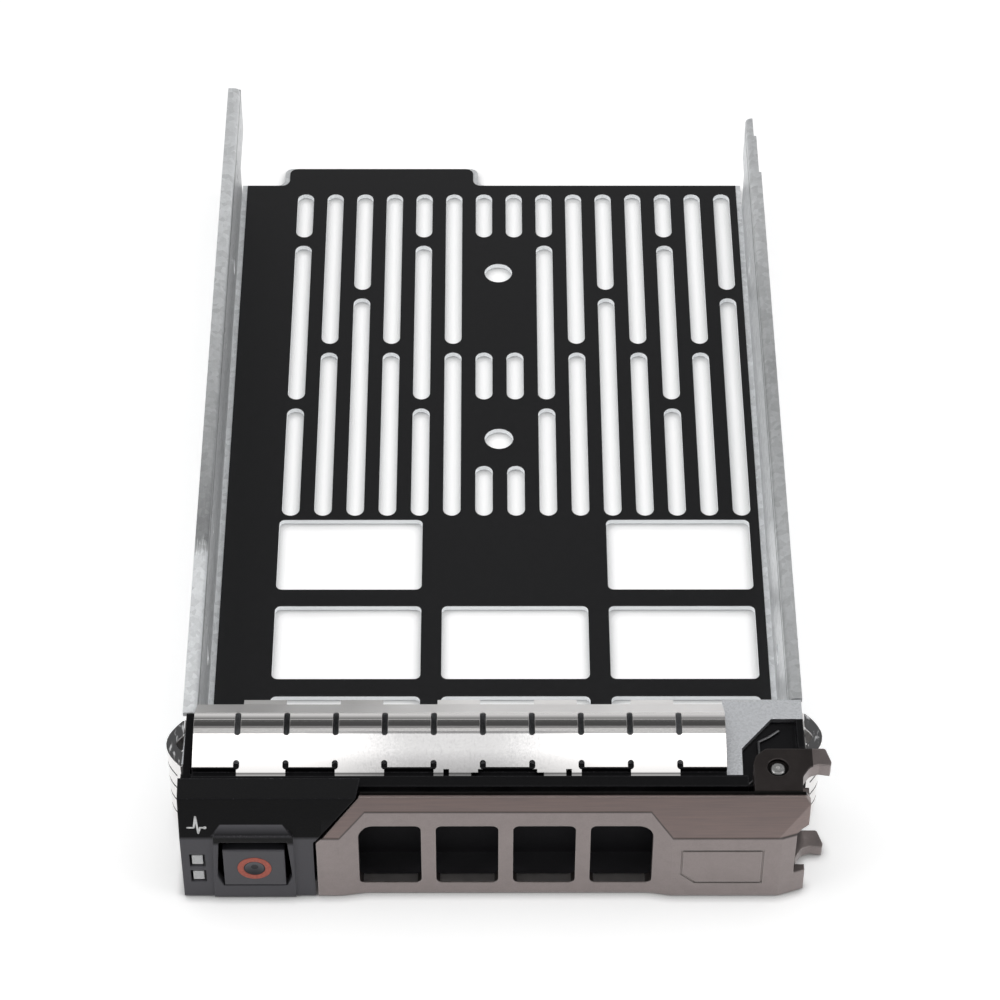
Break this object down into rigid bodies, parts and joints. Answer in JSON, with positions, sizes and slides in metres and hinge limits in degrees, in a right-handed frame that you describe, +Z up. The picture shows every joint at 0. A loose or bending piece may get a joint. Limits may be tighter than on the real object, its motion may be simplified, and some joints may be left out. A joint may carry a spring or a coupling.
{
  "type": "hot swap drive caddy",
  "caption": "Sheet-metal tray that carries a hard drive into a server bay, with a slotted floor, moulded front, release button and a swing-out ejector handle.",
  "frame": {"origin": "on the underside, on the rails' centre line, midway between the front and rear drive screws", "axes": "+X to the hinge side, seen from the front; +Y to the rear, the way the caddy slides in; +Z up"},
  "size_m": [0.113, 0.19, 0.0257],
  "materials": {
    "galvanised": "zinc-coated sheet steel, dull with fine scratches",
    "black_film": "thin black insulating film, satin",
    "rivet_steel": "plain rivet",
    "black_moulding": "black moulded plastic with a fine texture",
    "screw_steel": "dark zinc",
    "button_moulding": "dark grey moulded plastic",
    "ring_colour": "terracotta plastic",
    "latch_moulding": "black acetal",
    "spring_wire": "bright spring steel",
    "handle_coat": "taupe metallic coat on a zinc casting",
    "pin_steel": "bare steel",
    "stainless": "bright stainless spring sheet",
    "light_pipe": "clear acrylic, frosted at the lens"
  },
  "bodies": {
    "carrier": {"tray": "galvanised", "insulating_film": "black_film", "front_cross_member": "galvanised", "cross_member_rivets": "rivet_steel", "bezel": "black_moulding", "bezel_screws": "screw_steel", "pivot_pin": "pin_steel", "handle_torsion_spring": "spring_wire", "latch_spring": "spring_wire", "top_emi_shield": "stainless", "left_emi_spring": "stainless", "right_emi_spring": "stainless", "light_pipe_upper": "light_pipe", "light_pipe_lower": "light_pipe"},
    "handle": {"ejector_handle": "handle_coat"},
    "button": {"release_button": "button_moulding", "button_ring": "ring_colour"},
    "latch": {"latch_slider": "latch_moulding"}
  },
  "joints": [
    {"name": "handle_hinge", "type": "hinge", "parent": "carrier", "child": "handle", "pos_m": [0.04805, -0.0904, 0.01225], "axis": [0, 0, 1], "range_deg": [0, 70], "deforming": ["handle_torsion_spring"]},
    {"name": "button_press", "type": "slide", "parent": "carrier", "child": "button", "axis": [0, 1, 0], "range_m": [0, 0.0016], "stiffness_N_per_m": 400, "springref_m": -0.001},
    {"name": "latch_slide", "type": "slide", "parent": "carrier", "child": "latch", "axis": [-1, 0, 0], "range_m": [0, 0.0016], "deforming": ["latch_spring"]}
  ],
  "couplings": [
    {"joint": "latch_slide", "follows": "button_press", "ratio": 1}
  ]
}
